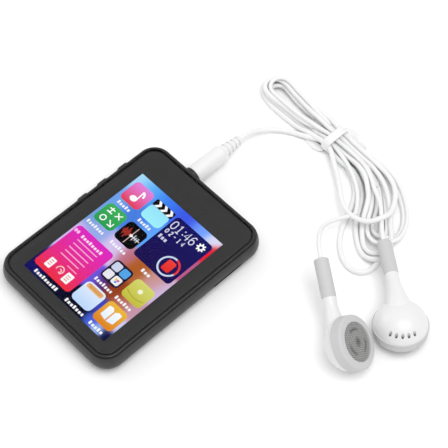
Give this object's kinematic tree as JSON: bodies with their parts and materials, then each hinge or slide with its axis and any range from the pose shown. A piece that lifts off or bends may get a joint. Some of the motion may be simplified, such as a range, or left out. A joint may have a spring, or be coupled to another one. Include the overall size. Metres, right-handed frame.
{
  "type": "digital audio player",
  "caption": "Slim rounded pocket audio player with a full-face colour screen, side keys, card slot and charging socket, its plugged-in earbuds lying beside it with the cord bundled in a tie.",
  "frame": {"origin": "centre of the flat rear face of the player, on the surface it lies on", "axes": "+Z out of the screen, +Y along the case towards the edge with the headphone socket, +X to the card-slot side"},
  "size_m": [0.1097, 0.1181, 0.0157],
  "materials": {
    "case_black": "fine satin moulding",
    "frame_black": "polished moulding",
    "cover_glass": "polished, rounded edge",
    "print_black": "screen print behind glass",
    "foam_black": "matt foam tape",
    "clear_film": "clear optical film",
    "display_panel": "lit display panel",
    "white_plastic": "matt moulding",
    "flex_film": "polyimide film",
    "foam_grey": "matt foam",
    "circuit_board": "solder mask",
    "steel": "plain",
    "chip_black": "matt moulding",
    "tin_plate": "tin plated",
    "ceramic_white": "ceramic block",
    "pouch_foil": "crimped foil pouch",
    "socket_black": "glass-filled moulding",
    "brass_contacts": "gold flash",
    "wire_red": "insulated wire",
    "wire_black": "insulated wire",
    "plated_pin": "nickel plated",
    "ring_black": "insulating ring",
    "white_moulding": "soft gloss moulding",
    "cord_white": "satin PVC sleeve",
    "tie_white": "paper-thin plastic tie",
    "button_black": "satin moulding",
    "plunger_white": "plain",
    "bud_white": "gloss moulding",
    "rubber_grey": "satin soft plastic",
    "grille_grey": "perforated and cloth backed",
    "driver_dark": "plain"
  },
  "bodies": {
    "player": {"rear_shell": "case_black", "front_frame": "frame_black", "touch_glass": "cover_glass", "glass_border": "print_black", "glass_adhesive": "foam_black", "display_bond": "clear_film", "lcd_panel": "display_panel", "lcd_backlight": "white_plastic", "display_flex": "flex_film", "display_cushion": "foam_grey", "main_board": "circuit_board", "board_screws": "steel", "processor_chip": "chip_black", "memory_chip": "chip_black", "shield_can": "tin_plate", "microphone": "tin_plate", "antenna": "ceramic_white", "battery": "pouch_foil", "battery_tape": "foam_black", "audio_jack": "socket_black", "jack_contacts": "brass_contacts", "jack_collar": "case_black", "usb_shell": "steel", "usb_tongue": "socket_black", "card_socket": "socket_black", "card_contacts": "brass_contacts", "battery_lead_positive": "wire_red", "battery_lead_negative": "wire_black", "switch_body_lower": "tin_plate", "switch_body_middle": "tin_plate", "switch_body_upper": "tin_plate"},
    "button_lower": {"button_cap_lower": "button_black", "switch_plunger_lower": "plunger_white"},
    "button_middle": {"button_cap_middle": "button_black", "switch_plunger_middle": "plunger_white"},
    "button_upper": {"button_cap_upper": "button_black", "switch_plunger_upper": "plunger_white"},
    "earphones": {"plug_pin": "plated_pin", "plug_insulators": "ring_black", "plug_body": "white_moulding", "plug_strain_relief": "white_moulding", "main_cord": "cord_white", "cord_hank": "cord_white", "twist_tie": "tie_white", "cord_splitter": "white_moulding", "left_lead": "cord_white", "right_lead": "cord_white", "left_bud_shell": "bud_white", "left_bud_sleeve": "rubber_grey", "left_bud_ring": "rubber_grey", "left_bud_grille": "grille_grey", "left_bud_driver": "driver_dark", "right_bud_shell": "bud_white", "right_bud_sleeve": "rubber_grey", "right_bud_ring": "rubber_grey", "right_bud_grille": "grille_grey", "right_bud_driver": "driver_dark"}
  },
  "joints": [
    {"name": "press_lower", "type": "slide", "parent": "player", "child": "button_lower", "axis": [1, 0, 0], "range_m": [0, 0.0003], "stiffness_N_per_m": 4000},
    {"name": "press_middle", "type": "slide", "parent": "player", "child": "button_middle", "axis": [1, 0, 0], "range_m": [0, 0.0003], "stiffness_N_per_m": 4000},
    {"name": "press_upper", "type": "slide", "parent": "player", "child": "button_upper", "axis": [1, 0, 0], "range_m": [0, 0.0003], "stiffness_N_per_m": 4000},
    {"name": "plug_slide", "type": "slide", "parent": "player", "child": "earphones", "axis": [0, 1, 0], "range_m": [0, 0.017]}
  ]
}
